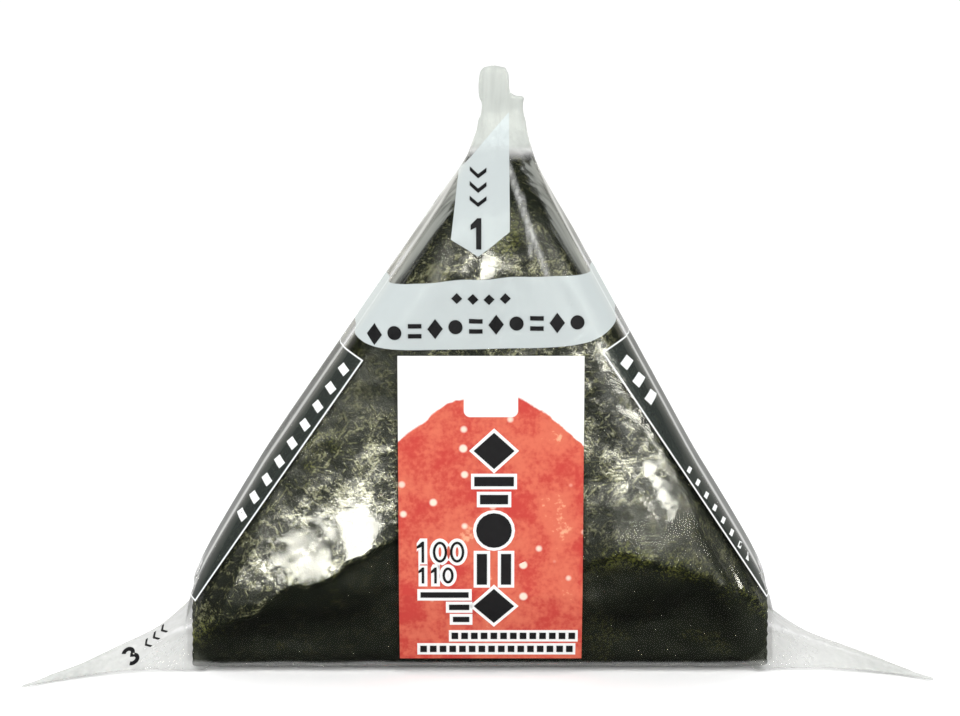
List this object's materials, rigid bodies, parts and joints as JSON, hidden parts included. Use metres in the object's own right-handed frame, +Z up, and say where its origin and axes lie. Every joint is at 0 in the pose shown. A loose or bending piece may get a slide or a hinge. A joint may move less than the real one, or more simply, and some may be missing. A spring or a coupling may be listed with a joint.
{
  "type": "wrapped onigiri rice ball",
  "caption": "Triangular rice ball in dried seaweed, sealed in clear film with a pinched tail, two foot ears and a paper label; it stands on its foot.",
  "frame": {"origin": "on the floor, under the middle of the whole pack with its ears", "axes": "+X to the right along the foot, seen from the front; the front with the label faces -Y; +Z up to the tail"},
  "size_m": [0.1424, 0.0418, 0.0953],
  "materials": {
    "nori": "dark green-black dried seaweed, crumpled, satin under the film",
    "clear_film": "thin clear film, glossy and finely wrinkled, hazy where it is doubled",
    "pale_print": "pale blue-grey ink on film",
    "dark_print": "dark translucent ink on film",
    "black_ink": "black ink",
    "white_ink": "white ink",
    "label_paper": "white coated label paper",
    "label_red": "red-orange ink on coated paper"
  },
  "bodies": {
    "root": {"film_pack": "nori", "paper_label": "label_paper"}
  },
  "joints": []
}
